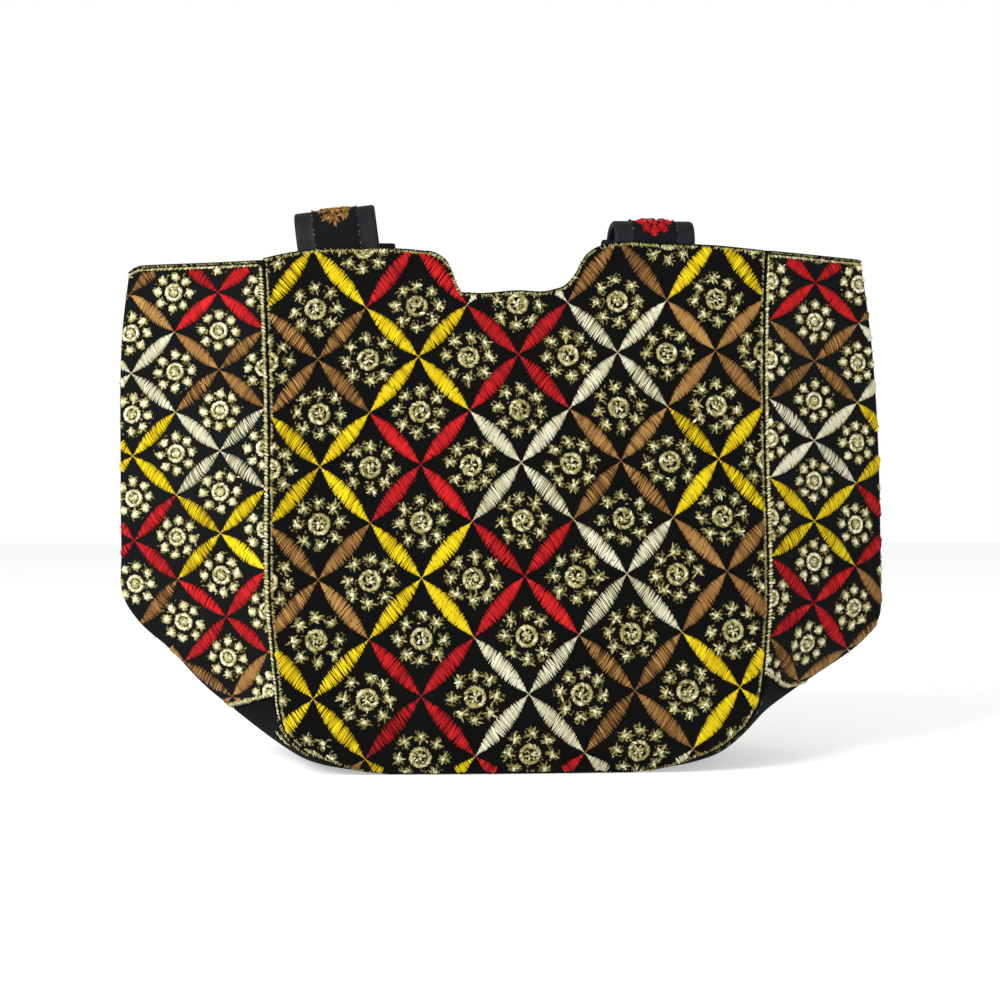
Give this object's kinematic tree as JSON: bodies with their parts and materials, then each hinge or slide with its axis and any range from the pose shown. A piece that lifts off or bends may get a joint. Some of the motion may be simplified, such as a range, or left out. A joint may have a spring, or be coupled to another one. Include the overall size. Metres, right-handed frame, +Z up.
{
  "type": "tote bag",
  "caption": "Standing cloth tote bag with a scooped mouth, wide folded side gussets, a plain base and two flat bands that hang as loops behind it, its walls embroidered all over.",
  "frame": {"origin": "middle of the base panel's underside, on the surface that the bag stands on", "axes": "+Z up from the surface, -Y towards the front panel, +X towards the right gusset as the front is seen"},
  "size_m": [0.3808, 0.1503, 0.2761],
  "materials": {
    "embroidered_cloth": "matte black cloth closely worked with satin leaves in red, yellow, tan and cream and with pale gold flowers",
    "plain_cloth": "matte plain black cloth",
    "handle_band": "black cloth band, satin borders on each side of a strip worked with flowers"
  },
  "bodies": {
    "root": {"front_panel": "embroidered_cloth", "back_panel": "embroidered_cloth", "side_gusset_left": "embroidered_cloth", "side_gusset_right": "embroidered_cloth", "base_panel": "plain_cloth", "handle_front": "handle_band", "handle_back": "handle_band"}
  },
  "joints": []
}
